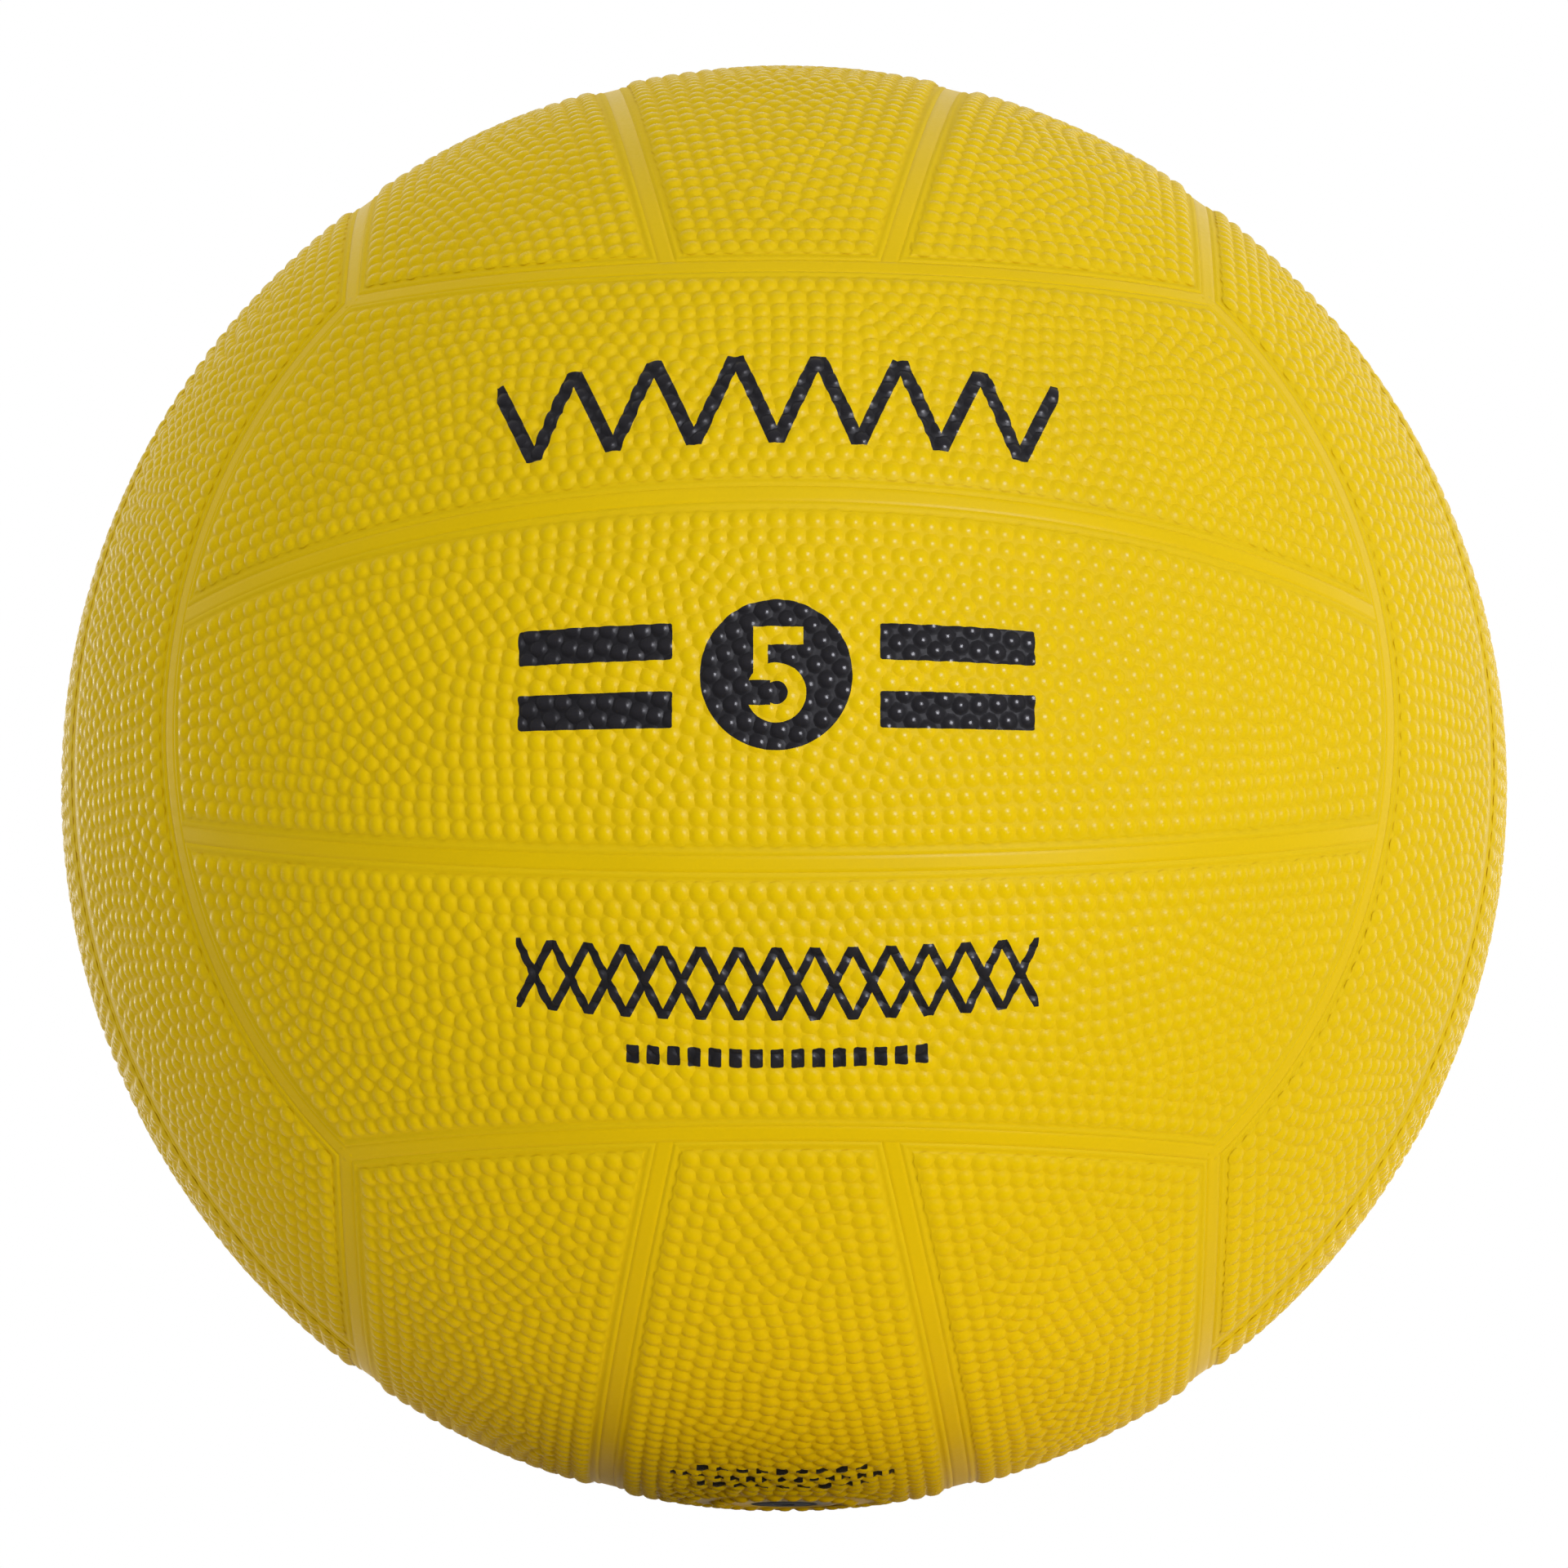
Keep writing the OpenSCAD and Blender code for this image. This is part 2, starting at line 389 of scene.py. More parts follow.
def ridge_rise():
    """The ridge's cross-section: shares of its width, and the radius at each."""
    cover = settings().cover
    border = border_radius()
    floor = inner_radius() + settings().strips.thickness
    top = border + cover.ridge_rise
    start, end = RIDGE_TOP
    lines = [(0.0, floor)]
    for share in QUARTERS:
        lines.append((start * share, floor + (top - floor) * (1 - math.cos(share * math.pi)) / 2))
    for share in QUARTERS:
        lines.append((end + (1 - end) * share,
                      border + cover.ridge_rise * (1 + math.cos(share * math.pi)) / 2))
    return lines


def side_profile():
    """Lines along a panel's side, from the inner face up, over the ridge, to the field."""
    width = settings().cover.ridge_width
    lines = [(panel_side(), inner_radius())]
    lines += [(panel_side() + width * share, radius) for share, radius in ridge_rise()]
    return lines + field_rise()


def field_rise():
    """Lines of the step from the plain border up to the pebbled field."""
    cover = settings().cover
    start, end = (ridge_side() + share * cover.border_width for share in FIELD_STEP)
    return [(start + (end - start) * share,
             border_radius() + cover.border_drop * share * share * (3 - 2 * share))
            for share in np.linspace(0, 1, 5)]


# Cells along and across the field of an outer panel and of a middle one
PANEL_CELLS = {False: (60, 18), True: (80, 24)}


def panel_planes(middle, insets, cells):
    """The planes across a panel of the front, from its lower side to its upper one."""
    if middle:
        low = [seam_plane(inset, -1) for inset in insets]
        high = [seam_plane(-inset) for inset in insets]
    else:
        low = [seam_plane(inset) for inset in insets]
        high = [edge_plane(inset) for inset in insets]
    inside = [between(low[-1], high[-1], n / cells) for n in range(1, cells)]
    return low + inside + high[::-1]


def panel_skin(middle, valve):
    """Vertices and faces of a panel of the front, without its pebbles."""
    columns, rows = PANEL_CELLS[middle]
    profile = side_profile()
    insets = [inset for inset, _ in profile]
    ends = [end_plane(inset) for inset in insets]
    points = lattice(panel_planes(middle, insets, rows), ends, columns)
    rank = np.minimum.outer(ranks(len(profile), rows), ranks(len(profile), columns))
    radii = np.array([radius for _, radius in profile])[rank]
    outer, inner, numbers, faces = shell(points, radii)
    if valve:
        return valve_opening(outer, inner, numbers)
    return np.vstack([outer, inner]), faces


# Where the pebbled field ends before the valve's border, as a share of the border
VALVE_FIELD = 0.9
# Chamfer of the valve's hole, as a share of the plain disc round it
VALVE_LIP = 0.1
# Room for the rings round the valve, as a share of the widest
RING_ROOM = 1.15
# Where the lines of the ridge round the valve lie on its arch, in degrees
RING_ARCH = (30, 60, 90, 120, 150)


def valve_profile():
    """Rings round the valve, from the field in to the hole and down it."""
    cover = settings().cover
    valve = settings().valve
    disc = valve.disc_diameter / 2
    ring = disc + cover.ridge_width
    outside = ring + cover.border_width
    border = border_radius()
    lines = [(ring + inset - ridge_side(), radius) for inset, radius in field_rise()[::-1]]
    lines = [(outside + VALVE_FIELD * cover.border_width, foot_radius())] + lines + [(ring, border)]
    for turn in np.radians(RING_ARCH):
        lines.append((ring - cover.ridge_width * (1 - math.cos(turn)) / 2,
                      border + cover.ridge_rise * math.sin(turn) ** 2))
    hole = valve.collar_diameter / 2
    lip = VALVE_LIP * (disc - hole)
    lines += [(disc, border), (hole + lip, border), (hole, border - lip)]
    return lines + [(hole, inner_radius())]


def valve_opening(outer, inner, numbers):
    """Puts rings round the valve in place of the cells at the middle of a panel."""
    middle_row, middle_column = (size // 2 for size in numbers.shape)
    reach = RING_ROOM * valve_profile()[0][0]
    near = np.hypot(outer[:, 0], outer[:, 2]).reshape(numbers.shape)
    tall = int(np.argmax(near[middle_row:, middle_column] > reach))
    wide = int(np.argmax(near[middle_row, middle_column:] > reach))
    rows = slice(middle_row - tall, middle_row + tall + 1)
    columns = slice(middle_column - wide, middle_column + wide + 1)
    block = numbers[rows, columns]
    loop = np.r_[block[0, :-1], block[:-1, -1], block[-1, :0:-1], block[:0:-1, 0]]
    turns = np.arctan2(outer[loop, 2], outer[loop, 0])
    rings = [radius * ring_points(out, turns) for out, radius in valve_profile()]
    vertices = np.vstack([outer, inner] + rings)
    first = 2 * len(outer)
    loops = [loop] + [first + n * len(loop) + np.arange(len(loop)) for n in range(len(rings))]
    loops.append(loop + len(outer))
    cells = quads(numbers)
    hidden = set(quads(block)[:, 0].tolist())
    kept = cells[[int(cell[0]) not in hidden for cell in cells]]
    closed = np.array([np.r_[ring, ring[0]] for ring in loops])
    return vertices, np.vstack([kept, kept + len(outer), quads(closed)])


# Pebbles

# Distances in the layout of the pebbles, as shares of their pitch: from the ridge to the
# first row, from there to the second, from there to the field, and how far two push apart
FIRST_ROW = 0.66
SECOND_ROW = 0.94
FIELD_GAP = 0.7
PUSH_REACH = 1.35
# How far a push moves a pebble, as a share of that reach, and how much that fades
PUSH_STEP = 0.3
PUSH_FADE = 0.6
SPREAD_TURNS = 240
TRIAL_COUNT = 400000
# The least square of a gap, and the gap under which two places are one, on a unit ball
LEAST_SQUARE = 1e-12
NO_GAP = 1e-5


def clearance(points, middle, valve):
    """Distance along the ball from each unit vector to the nearest seam's middle."""
    radius = settings().cover.ball_radius
    upper = seam_plane(0)[0]
    if middle:
        lower = seam_plane(0, -1)[0]
        sides = [np.arcsin(points @ lower), -np.arcsin(points @ upper)]
    else:
        sides = [np.arcsin(points @ upper), EDGE_LAT - np.arcsin(points @ UP)]
    ends = np.arcsin(np.clip(points @ FRONT, -1, 1)) - EDGE_LAT
    nearest = radius * np.minimum(np.minimum(*sides), ends)
    if valve:
        out = settings().valve.disc_diameter / 2 + settings().cover.ridge_width
        hole = radius * np.arccos(np.clip(points @ FRONT, -1, 1)) - out + ridge_side()
        nearest = np.minimum(nearest, hole)
    return nearest


def border_row(middle, inset):
    """Unit vectors of the row of pebbles that runs round a panel at an inset."""
    cover = settings().cover
    planes = panel_planes(middle, [inset], 1)
    corners = [end_angle(plane, end_plane(inset)) for plane in planes]
    sides = []
    for plane, corner in zip(planes, corners):
        radius = cover.ball_radius * math.sqrt(1 - plane[1] ** 2)
        count = round(2 * corner * radius / cover.pebble_pitch)
        sides.append(circle_points(plane, np.linspace(-corner, corner, count + 1)))
    height = end_plane(inset)[1]
    ring = math.sqrt(1 - height * height)
    low, high = (math.asin(side[-1][2] / ring) for side in sides)
    count = round((high - low) * ring * cover.ball_radius / cover.pebble_pitch)
    turns = np.linspace(low, high, count + 1)[1:-1]
    for way in (-1, 1):
        sides.append(np.c_[way * ring * np.cos(turns), 0 * turns - height, ring * np.sin(turns)])
    return np.vstack(sides)


def valve_row(inset):
    """Unit vectors of the row of pebbles round the valve."""
    cover = settings().cover
    out = settings().valve.disc_diameter / 2 + cover.ridge_width + inset - ridge_side()
    count = round(2 * math.pi * out / cover.pebble_pitch)
    return ring_points(out, 2 * math.pi * np.arange(count) / count)


def pebble_sites(middle, valve):
    """Unit vectors of a panel's pebbles: fixed rows along its sides, and a field that
    spreads out evenly inside them."""
    cover = settings().cover
    first_row = ridge_side() + FIRST_ROW * cover.pebble_pitch
    second_row = first_row + SECOND_ROW * cover.pebble_pitch
    fixed = np.vstack([border_row(middle, first_row), border_row(middle, second_row)])
    if valve:
        fixed = np.vstack([fixed, valve_row(first_row)])
    numbers = np.random.default_rng(cover.seed + middle + valve)
    trial = numbers.normal(size=(TRIAL_COUNT, 3))
    trial /= np.linalg.norm(trial, axis=1, keepdims=True)
    room = clearance(trial, middle, valve)
    share = 4 * math.pi * cover.ball_radius ** 2 / len(trial)
    total = int((room > first_row - cover.pebble_pitch / 2).sum() * share / cover.pebble_area)
    least = second_row + FIELD_GAP * cover.pebble_pitch
    loose = trial[room > least][:total - len(fixed)]
    reach = PUSH_REACH * cover.pebble_pitch / cover.ball_radius
    for turn in range(SPREAD_TURNS):
        everyone = np.vstack([loose, fixed])
        gaps = np.sqrt(np.clip(2 - 2 * loose @ everyone.T, LEAST_SQUARE, None))
        push = np.clip(1 - gaps / reach, 0, None) / gaps
        push[gaps < NO_GAP] = 0
        step = PUSH_STEP * reach * (1 - PUSH_FADE * turn / SPREAD_TURNS)
        moved = loose + step * (loose * push.sum(axis=1)[:, None] - push @ everyone)
        moved /= np.linalg.norm(moved, axis=1, keepdims=True)
        inside = clearance(moved, middle, valve) > least
        loose[inside] = moved[inside]
    return np.vstack([fixed, loose])


# Node trees


def add_node(tree, kind, inputs=None, **values):
    """A node with its settings, whose inputs are sockets to link or plain values."""
    node = tree.nodes.new(kind)
    for name, value in values.items():
        setattr(node, name, value)
    fill(tree, node.inputs, inputs or {})
    return node


def fill(tree, sockets, inputs):
    """Links a node's sockets, or sets them to plain values."""
    for name, value in inputs.items():
        if isinstance(value, bpy.types.NodeSocket):
            tree.links.new(value, sockets[name])
        else:
            sockets[name].default_value = value


def live_output(tree, kind, inputs, data_type):
    """The output of a node that has other sockets for each type of data."""
    node = add_node(tree, kind, data_type=data_type)
    fill(tree, {socket.name: socket for socket in node.inputs if socket.enabled}, inputs)
    return next(socket for socket in node.outputs if socket.enabled)


def maths(tree, operation, first, second=0.0, third=0.0):
    """The output of one step of arithmetic."""
    node = add_node(tree, "ShaderNodeMath", {0: first, 1: second, 2: third}, operation=operation)
    return node.outputs[0]


def times(tree, first, second):
    return maths(tree, "MULTIPLY", first, second)


def minus(tree, first, second):
    return maths(tree, "SUBTRACT", first, second)


def reach_of(tree, across, along):
    """The length of a flat vector."""
    squares = [times(tree, value, value) for value in (across, along)]
    return maths(tree, "SQRT", maths(tree, "ADD", *squares))


def length_of(tree, vector):
    node = add_node(tree, "ShaderNodeVectorMath", {0: vector}, operation="LENGTH")
    return node.outputs["Value"]


def pebble_tree():
    """Geometry nodes that stand a dome on each loose vertex of a panel, upright on the ball."""
    tree = bpy.data.node_groups.new("pebbled_panel", "GeometryNodeTree")
    kinds = {"Panel": "Geometry", "Width": "Float", "Height": "Float", "Sink": "Float",
             "Spread": "Float", "Seed": "Int", "Material": "Material"}
    for name, kind in kinds.items():
        tree.interface.new_socket(name, in_out="INPUT", socket_type=f"NodeSocket{kind}")
    tree.interface.new_socket("Panel", in_out="OUTPUT", socket_type="NodeSocketGeometry")
    given = add_node(tree, "NodeGroupInput").outputs
    site = add_node(tree, "GeometryNodeInputNamedAttribute", {"Name": "site"},
                    data_type="BOOLEAN").outputs["Attribute"]
    parts = add_node(tree, "GeometryNodeSeparateGeometry",
                     {"Geometry": given["Panel"], "Selection": site}, domain="POINT").outputs
    dome = pebble_dome(tree, given)
    place = add_node(tree, "GeometryNodeInputPosition").outputs[0]
    upright = add_node(tree, "FunctionNodeAlignRotationToVector", {"Vector": place}, axis="Z")
    spin = random_value(tree, given["Seed"], 0.0, 2 * math.pi)
    turned = add_node(tree, "FunctionNodeRotateRotation",
                      {"Rotation": upright.outputs[0],
                       "Rotate By": combine(tree, 0.0, 0.0, spin)}, rotation_space="LOCAL")
    most = maths(tree, "ADD", 1.0, given["Spread"])
    least = minus(tree, 1.0, given["Spread"])
    wide = random_value(tree, maths(tree, "ADD", given["Seed"], 1.0), least, most)
    tall = random_value(tree, maths(tree, "ADD", given["Seed"], 2.0), least, 1.0)
    stood = add_node(tree, "GeometryNodeInstanceOnPoints",
                     {"Points": parts["Selection"], "Instance": dome,
                      "Rotation": turned.outputs[0], "Scale": combine(tree, wide, wide, tall)})
    real = add_node(tree, "GeometryNodeRealizeInstances", {"Geometry": stood.outputs[0]})
    both = add_node(tree, "GeometryNodeJoinGeometry")
    tree.links.new(real.outputs[0], both.inputs[0])
    tree.links.new(parts["Inverted"], both.inputs[0])
    done = add_node(tree, "GeometryNodeSetMaterial",
                    {"Geometry": both.outputs[0], "Material": given["Material"]})
    add_node(tree, "NodeGroupOutput", {"Panel": done.outputs[0]})
    return tree


def combine(tree, x, y, z):
    return add_node(tree, "ShaderNodeCombineXYZ", {0: x, 1: y, 2: z}).outputs[0]


def random_value(tree, seed, least, most):
    """A random number for each point."""
    return live_output(tree, "FunctionNodeRandomValue",
                       {"Min": least, "Max": most, "Seed": seed}, "FLOAT")


DOME_SIDES = 10
# How far a dome reaches into the panel, as a share of its height
DOME_SINK = 0.1
# Bends the even rings of a cone towards the foot of the dome
DOME_BEND = 0.7
# Shares of a pebble's width and height from its top to its foot
DOME_POINTS = ((0.0, 1.0), (0.34, 0.92), (0.6, 0.6), (0.81, 0.18), (1.0, 0.0))
# Keeps the dome's middle from a division by zero
NOT_ZERO = 1e-6


def pebble_dome(tree, given):
    """A low dome of a few dozen faces, closed underneath, from a cone bent to a curve."""
    cone = add_node(tree, "GeometryNodeMeshCone",
                    {"Vertices": DOME_SIDES, "Side Segments": len(DOME_POINTS) - 1,
                     "Fill Segments": 1, "Radius Top": 0.0, "Radius Bottom": 1.0, "Depth": 1.0})
    place = add_node(tree, "GeometryNodeInputPosition").outputs[0]
    axes = add_node(tree, "ShaderNodeSeparateXYZ", {0: place}).outputs
    out = reach_of(tree, axes[0], axes[1])
    bent = maths(tree, "POWER", out, DOME_BEND)
    rise = add_node(tree, "ShaderNodeFloatCurve", {"Value": bent})
    set_curve(rise, DOME_POINTS)
    widen = maths(tree, "DIVIDE", times(tree, bent, given["Width"]),
                  maths(tree, "MAXIMUM", times(tree, out, 2.0), NOT_ZERO))
    whole = maths(tree, "ADD", given["Height"], given["Sink"])
    height = minus(tree, times(tree, rise.outputs[0], whole), given["Sink"])
    moved = combine(tree, times(tree, axes[0], widen), times(tree, axes[1], widen), height)
    dome = add_node(tree, "GeometryNodeSetPosition",
                    {"Geometry": cone.outputs["Mesh"], "Position": moved})
    return dome.outputs[0]


def set_curve(node, points):
    """Gives a curve node its points, from the first to the last."""
    curve = node.mapping.curves[0]
    while len(curve.points) < len(points):
        curve.points.new(0.5, 0.5)
    for point, (x, y) in zip(curve.points, points):
        point.location = (x, y)
    node.mapping.update()


def set_inputs(modifier, values):
    """Sets a modifier's inputs, found by their names and set by their identifiers."""
    for item in modifier.node_group.interface.items_tree:
        if item.item_type == "SOCKET" and item.in_out == "INPUT" and item.name in values:
            modifier[item.identifier] = values[item.name]


def pebbled_mesh(name, middle, valve, material):
    """A panel of the front with its pebbles, as a plain mesh."""
    cover = settings().cover
    vertices, faces = panel_skin(middle, valve)
    mesh = mesh_from(name, vertices, faces)
    skin_count = len(mesh.vertices)
    sites = pebble_sites(middle, valve) * foot_radius()
    mesh.vertices.add(len(sites))
    flags = np.arange(len(mesh.vertices)) >= skin_count
    places = np.empty((len(mesh.vertices), 3), np.float32)
    mesh.vertices.foreach_get("co", places.ravel())
    places[skin_count:] = sites
    mesh.vertices.foreach_set("co", places.ravel())
    mesh.attributes.new("site", "BOOLEAN", "POINT").data.foreach_set("value", flags)
    mesh.update()
    holder = put(name, mesh)
    modifier = holder.modifiers.new("pebbles", "NODES")
    modifier.node_group = bpy.data.node_groups.get("pebbled_panel") or pebble_tree()
    set_inputs(modifier, {
        "Width": cover.pebble_width, "Height": cover.pebble_height,
        "Sink": DOME_SINK * cover.pebble_height, "Spread": cover.size_spread,
        "Seed": cover.seed, "Material": material})
    graph = bpy.context.evaluated_depsgraph_get()
    result = bpy.data.meshes.new_from_object(holder.evaluated_get(graph))
    bpy.data.objects.remove(holder)
    bpy.data.meshes.remove(mesh)
    stale = result.attributes.get("site")
    if stale:
        result.attributes.remove(stale)
    result.shade_smooth()
    result.set_sharp_from_angle(angle=SHARP_ANGLE)
    return result


# Pieces


def add_piece(name, mesh, material, node):
    """An object at the origin that stands for a CAD node of the ball's body."""
    piece = put(name, mesh)
    mesh.materials.clear()
    mesh.materials.append(material)
    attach(piece, "ball")
    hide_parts(node)


def add_copies(mesh, kind, material, names):
    """Copies of a mesh of the front, turned to each face and row that is named."""
    for node, face, row in names:
        turned = mesh.copy()
        turned.name = node
        turned.transform(face_matrix(face, row))
        turned.update()
        add_piece(f"{kind}{node}", turned, material, node)
    bpy.data.meshes.remove(mesh)


def both_rows(prefix, words):
    """Node, face and row of two pieces to each face, after the words that FACES holds."""
    return [(f"{prefix}_{face}_{facts[words][row]}", face, row)
            for face, facts in FACES.items() for row in (0, 1)]


def dress(node, material):
    """Gives a CAD node its material."""
    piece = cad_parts[node]
    piece.data.materials.clear()
    piece.data.materials.append(material)


# Materials


def new_material(name):
    """An empty material, its tree and its Object coordinates."""
    material = bpy.data.materials.new(name)
    material.use_nodes = True
    tree = material.node_tree
    tree.nodes.clear()
    place = add_node(tree, "ShaderNodeTexCoord").outputs["Object"]
    return material, tree, place


def noise(tree, place, size, detail=2.0, roughness=0.5):
    """Noise whose features are about as large as the size given."""
    node = add_node(tree, "ShaderNodeTexNoise",
                    {"Vector": place, "Scale": 1 / size, "Detail": detail,
                     "Roughness": roughness})
    return node.outputs[0]


def span(tree, value, low, high, to_low=0.0, to_high=1.0):
    """Maps a value from one span to another, and clips it there."""
    node = add_node(tree, "ShaderNodeMapRange",
                    {"Value": value, "From Min": low, "From Max": high,
                     "To Min": to_low, "To Max": to_high})
    return node.outputs["Result"]


def blend(tree, share, first, second):
    """A mix of two colours."""
    first, second = (value if isinstance(value, bpy.types.NodeSocket) else (*value, 1)
                     for value in (first, second))
    return live_output(tree, "ShaderNodeMix", {"Factor": share, "A": first, "B": second}, "RGBA")


def bump(tree, height, distance, strength=1.0, normal=None):
    inputs = {"Height": height, "Distance": distance, "Strength": strength}
    if normal is not None:
        inputs["Normal"] = normal
    return add_node(tree, "ShaderNodeBump", inputs).outputs[0]


def finish_material(tree, inputs):
    shader = add_node(tree, "ShaderNodeBsdfPrincipled", inputs)
    add_node(tree, "ShaderNodeOutputMaterial", {"Surface": shader.outputs[0]})


def shade(colour_value, share):
    """A colour made darker or lighter."""
    return tuple(min(1.0, channel * share) for channel in colour_value)


def away(tree, place, middle):
    """How far a place is from the middle of a mark, on either side."""
    return maths(tree, "ABSOLUTE", minus(tree, place, middle))


def box_mask(tree, across, along, centre, size, rounding):
    """1 inside a rounded box on the ball, 0 outside it."""
    over = []
    for place, middle, whole in zip((across, along), centre, size):
        off = away(tree, place, middle)
        over.append(maths(tree, "MAXIMUM", minus(tree, off, whole / 2 - rounding), 0.0))
    return maths(tree, "LESS_THAN", reach_of(tree, *over), rounding)


def union(tree, masks):
    whole = masks[0]
    for mask in masks[1:]:
        whole = maths(tree, "MAXIMUM", whole, mask)
    return whole


def ring_mask(tree, across, along, centre, outer, inner=-1.0):
    """1 inside a flat ring or a whole disc on the ball, 0 outside it."""
    far = reach_of(tree, minus(tree, across, centre[0]), minus(tree, along, centre[1]))
    return times(tree, maths(tree, "LESS_THAN", far, outer),
                 maths(tree, "GREATER_THAN", far, inner))


# Periods added to a zigzag's place, so that it stays over zero
WHOLE_PERIODS = 10
# Rounding of a dash, as a share of its height
DASH_ROUNDING = 0.1


def zigzag_mask(tree, across, along, height, period, tall, stroke, width, shift):
    """A band that runs up and down between two heights, centred on the front."""
    start = shift + WHOLE_PERIODS * period
    wave = maths(tree, "PINGPONG", maths(tree, "ADD", across, start), period / 2)
    slope = 2 * tall / period
    level = maths(tree, "MULTIPLY_ADD", wave, slope, height - tall / 2)
    reach = stroke / 2 * math.sqrt(1 + slope * slope)
    near = maths(tree, "LESS_THAN", away(tree, along, level), reach)
    band = maths(tree, "LESS_THAN", away(tree, along, height), tall / 2)
    return times(tree, times(tree, near, band), within(tree, across, width))


def within(tree, across, width):
    return maths(tree, "LESS_THAN", maths(tree, "ABSOLUTE", across), width / 2)


def dash_row(tree, across, along, height, pitch, dash, tall, width):
    """A row of short dashes, centred on the front."""
    near = maths(tree, "WRAP", across, pitch / 2, -pitch / 2)
    dashes = box_mask(tree, near, along, (0, height), (dash, tall), DASH_ROUNDING * tall)
    return times(tree, dashes, within(tree, across, width))


# The print, in metres along the ball from the middle of the front.
# Zigzags: height, period, height of the band, stroke, width, shift
ZIGZAGS = MM * np.array([
    (43, 12, 15, 2.1, 84, 0),
    (-45, 11, 11, 1.3, 77, 0),
    (-45, 11, 11, 1.3, 77, 5.5),
])
# Rows of dashes: height, pitch, length of a dash, its height, width
DASH_ROWS = MM * np.array([
    (-56.3, 3.0, 1.9, 3.0, 45),
    (-147.5, 3.0, 1.8, 1.7, 27),
    (-151.5, 2.4, 1.4, 1.7, 34),
    (-155.5, 3.2, 2.0, 1.7, 26),
])
BADGE_RADIUS = 11 * MM
NUMBER_HEIGHT = 14 * MM
BAR_PLACE = (26.5 * MM, 5 * MM)
BAR_SIZE = (23 * MM, 5.4 * MM)
BAR_ROUNDING = 0.4 * MM


def print_mask(tree, place):
    """Where the ink lies: plain bands and rows round a plain size number on the front."""
    radius = settings().cover.ball_radius
    axes = add_node(tree, "ShaderNodeSeparateXYZ", {0: place}).outputs
    ahead = times(tree, axes[1], -1.0)
    sideways = maths(tree, "ARCSINE", maths(tree, "DIVIDE", axes[0], length_of(tree, place)))
    across = times(tree, sideways, radius)
    along = times(tree, maths(tree, "ARCTAN2", axes[2], ahead), radius)
    disc = ring_mask(tree, across, along, (0, 0), BADGE_RADIUS)
    number = numeral_five(tree, across, along, NUMBER_HEIGHT)
    masks = [times(tree, disc, minus(tree, 1.0, number))]
    masks += [box_mask(tree, across, along, (side * BAR_PLACE[0], level * BAR_PLACE[1]),
                       BAR_SIZE, BAR_ROUNDING) for side in (-1, 1) for level in (-1, 1)]
    masks += [zigzag_mask(tree, across, along, *sizes) for sizes in ZIGZAGS.tolist()]
    masks += [dash_row(tree, across, along, *sizes) for sizes in DASH_ROWS.tolist()]
    return times(tree, union(tree, masks), maths(tree, "GREATER_THAN", ahead, 0.0))


def numeral_five(tree, across, along, tall):
    """The figure 5: a bar, a stem and an open bowl, in shares of its height."""
    pen = 0.19 * tall
    bowl = 0.31 * tall
    base = bowl - tall / 2
    sharp = 0.01 * MM
    bar = box_mask(tree, across, along, (0.03 * tall, (tall - pen) / 2), (0.5 * tall, pen), sharp)
    stem = box_mask(tree, across, along, (-0.16 * tall, 0.24 * tall), (0.15 * tall, 0.52 * tall),
                    sharp)
    ring = ring_mask(tree, across, along, (0, base), bowl, bowl - pen)
    cut = times(tree, maths(tree, "LESS_THAN", across, -0.06 * tall),
                maths(tree, "LESS_THAN", away(tree, along, base), 0.13 * tall))
    return union(tree, [bar, stem, times(tree, ring, minus(tree, 1.0, cut))])


# The gloss of the outer rubber, and its tint on the rubber and on the print
GLOSS_IOR = 1.3
RUBBER_TINT = (0.1, 0.16, 0.22)
INK_TINT = (0.3, 0.3, 0.33)
# Roughness of the cover at the feet of the pebbles and on their tops
FOOT_ROUGHNESS = 0.6
TOP_ROUGHNESS = 0.2
# Size of the outer rubber's grain, and depth of the slight waves under it
GRAIN_SIZE = 0.35 * MM
WAVE_DEPTH = 0.05 * MM


def moulded_surface(tree, place, cloud_size, speckle_size, grain_depth, wave_size, waves):
    """Clouds and speckles of moulded rubber, and the normal of its grain and waves."""
    cloud = span(tree, noise(tree, place, cloud_size, 3.0), 0.3, 0.7)
    speckle = span(tree, noise(tree, place, speckle_size, 2.0), 0.35, 0.65)
    grain = bump(tree, noise(tree, place, GRAIN_SIZE, 3.0), grain_depth)
    normal = bump(tree, noise(tree, place, wave_size, 1.0), WAVE_DEPTH, waves, grain)
    return cloud, speckle, normal


